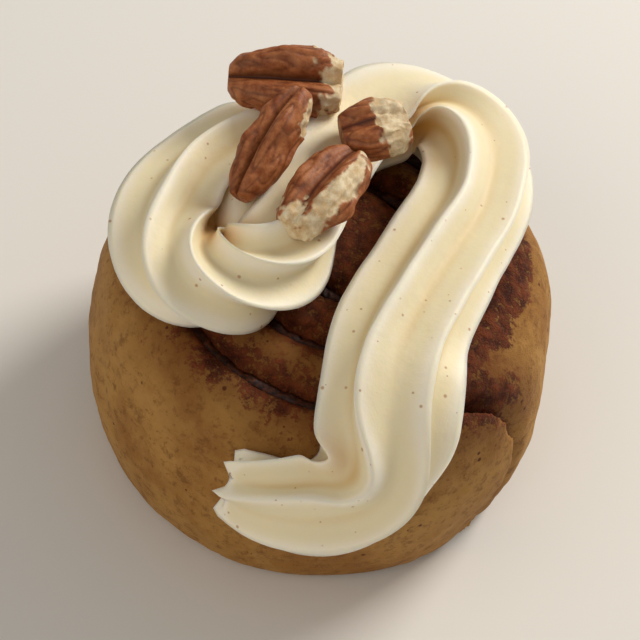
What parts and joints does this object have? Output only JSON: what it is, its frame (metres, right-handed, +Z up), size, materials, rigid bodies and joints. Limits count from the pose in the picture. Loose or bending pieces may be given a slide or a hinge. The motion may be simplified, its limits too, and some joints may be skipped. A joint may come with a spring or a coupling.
{
  "type": "cinnamon roll",
  "caption": "Round swirled cinnamon roll with a thick piped rope of fluted frosting over its top and down its front, and pecan pieces pressed into it.",
  "frame": {"origin": "middle of the flat underside of the roll, on the surface it stands on", "axes": "+Z up; the front, where the frosting runs down the side, is at -Y; +X to the right seen from the front"},
  "size_m": [0.0704, 0.08, 0.0595],
  "materials": {
    "dough": "baked bread crust, matte to satin",
    "cinnamon_filling": "cinnamon and melted brown sugar, slightly glossy",
    "frosting": "smooth cream cheese frosting, soft sheen",
    "pecan": "wrinkled nut skin, satin"
  },
  "bodies": {
    "root": {"dough": "dough", "cinnamon_filling": "cinnamon_filling", "frosting": "frosting", "pecan_1": "pecan", "pecan_2": "pecan", "pecan_3": "pecan", "pecan_4": "pecan"}
  },
  "joints": []
}
